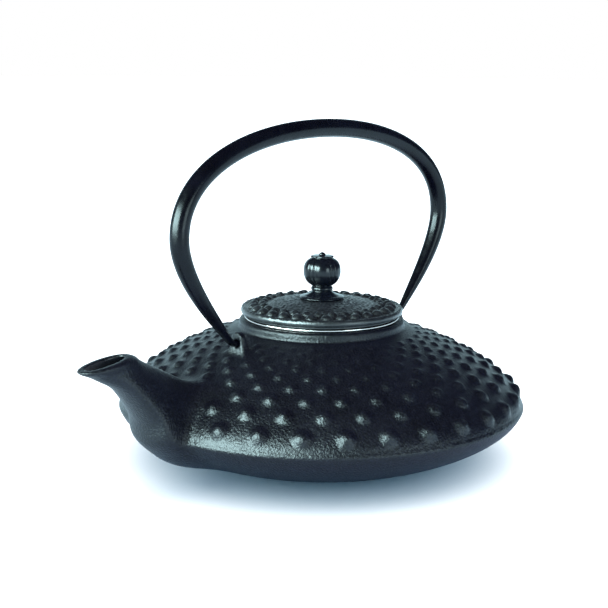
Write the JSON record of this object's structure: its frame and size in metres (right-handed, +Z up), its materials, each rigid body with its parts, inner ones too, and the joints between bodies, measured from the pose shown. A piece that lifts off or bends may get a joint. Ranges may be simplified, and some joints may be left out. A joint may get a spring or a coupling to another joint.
{
  "type": "cast iron teapot",
  "caption": "Squat cast iron teapot with a hobnailed shoulder, short spout, tall bail handle, beaded lid with melon knob, and a steel infuser.",
  "frame": {"origin": "centre of the pot's flat base, on the surface that it stands on", "axes": "+Z up along the pot's axis, -X towards the spout, the handle's hinge line along X"},
  "size_m": [0.2253, 0.1846, 0.1517],
  "materials": {
    "pot_iron": "fine sand-cast grain under a thin black lacquer, satin",
    "lid_iron": "fine sand-cast grain under a thin black lacquer, satin",
    "forged_iron": "smooth black lacquer, semi-gloss",
    "stainless": "bright spun stainless sheet"
  },
  "bodies": {
    "pot": {"pot_body": "pot_iron"},
    "handle": {"handle": "forged_iron"},
    "infuser": {"infuser_collar": "stainless", "infuser_wall": "stainless", "infuser_base_ring": "stainless", "infuser_floor": "stainless"},
    "lid": {"lid": "lid_iron", "lid_knob": "lid_iron", "knob_washer": "stainless"}
  },
  "joints": [
    {"name": "handle_swing", "type": "hinge", "parent": "pot", "child": "handle", "pos_m": [0, 0, 0.0578], "axis": [1, 0, 0], "range_deg": [-96, 96]},
    {"name": "infuser_lift", "type": "slide", "parent": "pot", "child": "infuser", "axis": [0, 0, 1], "range_m": [0, 0.045]},
    {"name": "lid_lift", "type": "slide", "parent": "infuser", "child": "lid", "axis": [0, 0, 1], "range_m": [0, 0.045]}
  ]
}
